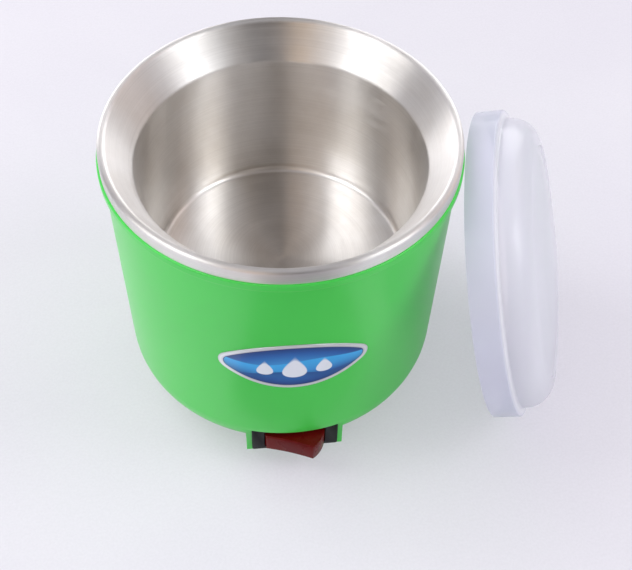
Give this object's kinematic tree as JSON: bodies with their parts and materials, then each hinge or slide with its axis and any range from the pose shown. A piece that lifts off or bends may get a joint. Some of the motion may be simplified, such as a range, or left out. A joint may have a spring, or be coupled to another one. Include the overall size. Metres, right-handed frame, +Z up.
{
  "type": "wax heater",
  "caption": "Salon wax heater: a spun steel bowl in a round moulded shell on rubber feet, with a rocker switch low on the front and its domed lid leaning on the rim.",
  "frame": {"origin": "on the pot's axis, in the plane of the feet's undersides", "axes": "+Z up along the pot's axis, -Y towards the switch at the front, +Y towards the cord gland, +X towards the lid that leans on the rim"},
  "size_m": [0.1992, 0.1501, 0.1332],
  "materials": {
    "bowl_steel": "spun and satin brushed",
    "green_shell": "moulded, soft gloss",
    "label_foil": "printed and clear coated",
    "switch_black": "moulded, soft gloss",
    "rocker_red": "polished",
    "lid_plastic": "translucent, thin",
    "cover_black": "fine texture",
    "black_rubber": "matt",
    "zinc_steel": "zinc plated",
    "plain_steel": "rolled sheet",
    "mica": "layered sheet",
    "heater_strip": "oxidised resistance alloy",
    "glass_fibre": "needled mat",
    "brown_phenolic": "pressed",
    "aluminium": "plain",
    "brass": "turned",
    "block_white": "moulded",
    "lead_sleeve": "silicone",
    "boot_clear": "moulded"
  },
  "bodies": {
    "pot": {"wax_bowl": "bowl_steel", "outer_shell": "green_shell", "base_cover": "cover_black", "rubber_foot_back_right": "black_rubber", "rubber_foot_back_left": "black_rubber", "rubber_foot_front_left": "black_rubber", "rubber_foot_front_right": "black_rubber", "foot_screws": "zinc_steel", "label_plate": "label_foil", "switch_housing": "switch_black", "switch_blades": "brass", "blade_boots": "boot_clear", "tie_rod": "zinc_steel", "clamp_washer": "zinc_steel", "clamp_nut": "zinc_steel", "shield_nut": "zinc_steel", "base_washer": "zinc_steel", "base_nut": "zinc_steel", "nut_cap": "black_rubber", "mica_upper": "mica", "heating_element": "heater_strip", "tab_crimps": "brass", "mica_lower": "mica", "clamp_plate": "plain_steel", "thermostat_cap": "aluminium", "thermostat_body": "brown_phenolic", "thermostat_flange": "plain_steel", "thermostat_screws": "zinc_steel", "thermostat_blades": "brass", "insulation_pad": "glass_fibre", "heat_shield": "plain_steel", "terminal_block": "block_white", "terminal_sleeves": "brass", "terminal_screws": "zinc_steel", "cord_gland": "black_rubber", "lead_supply": "lead_sleeve", "lead_switch": "lead_sleeve", "lead_heater": "lead_sleeve", "lead_return": "lead_sleeve"},
    "rocker": {"switch_rocker": "rocker_red"},
    "lid": {"lid": "lid_plastic"}
  },
  "joints": [
    {"name": "rocker_hinge", "type": "hinge", "parent": "pot", "child": "rocker", "pos_m": [0, -0.0611, 0.0165], "axis": [0, 0, 1], "range_deg": [0, 40]},
    {"name": "lid_lift", "type": "slide", "parent": "pot", "child": "lid", "axis": [0, 0, 1], "range_m": [0, 0.16]}
  ]
}
